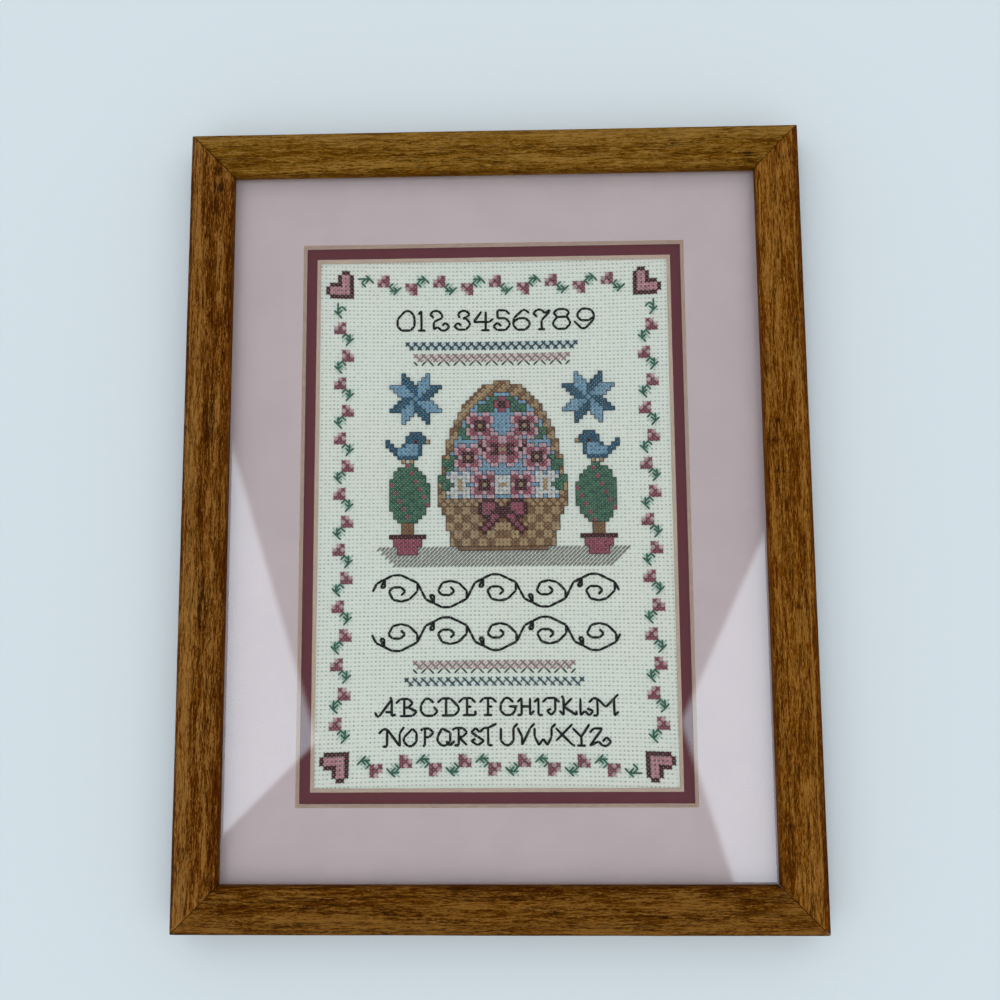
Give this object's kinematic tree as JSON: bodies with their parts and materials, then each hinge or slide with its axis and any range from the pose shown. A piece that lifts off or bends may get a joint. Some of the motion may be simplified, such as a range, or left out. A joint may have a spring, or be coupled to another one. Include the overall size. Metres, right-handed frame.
{
  "type": "framed cross stitch sampler in a wooden picture frame",
  "caption": "Flat stitched sampler cloth behind glass and bevelled mats, held in a mitred wooden picture frame that lies on its back.",
  "frame": {"origin": "middle of the flat back of the frame, on the surface it lies on", "axes": "+X to the sampler's right, +Y towards its top, +Z out of its picture face"},
  "size_m": [0.2752, 0.3514, 0.0181],
  "materials": {
    "oak": "honey stained oak, satin varnish over open grain",
    "picture_glass": "clear polished picture glass",
    "pink_mat_board": "matt paper faced card, pink mauve, tan core",
    "burgundy_mat_board": "matt paper faced card, burgundy, tan core",
    "ivory_cotton": "ivory cotton Aida, soft matt, with cotton yarn stitches",
    "grey_board": "plain matt grey board"
  },
  "bodies": {
    "root": {"rail_top": "oak", "rail_bottom": "oak", "rail_left": "oak", "rail_right": "oak", "glazing": "picture_glass", "outer_mat": "pink_mat_board", "inner_mat": "burgundy_mat_board", "stitched_cloth": "ivory_cotton", "mounting_board": "grey_board"}
  },
  "joints": []
}
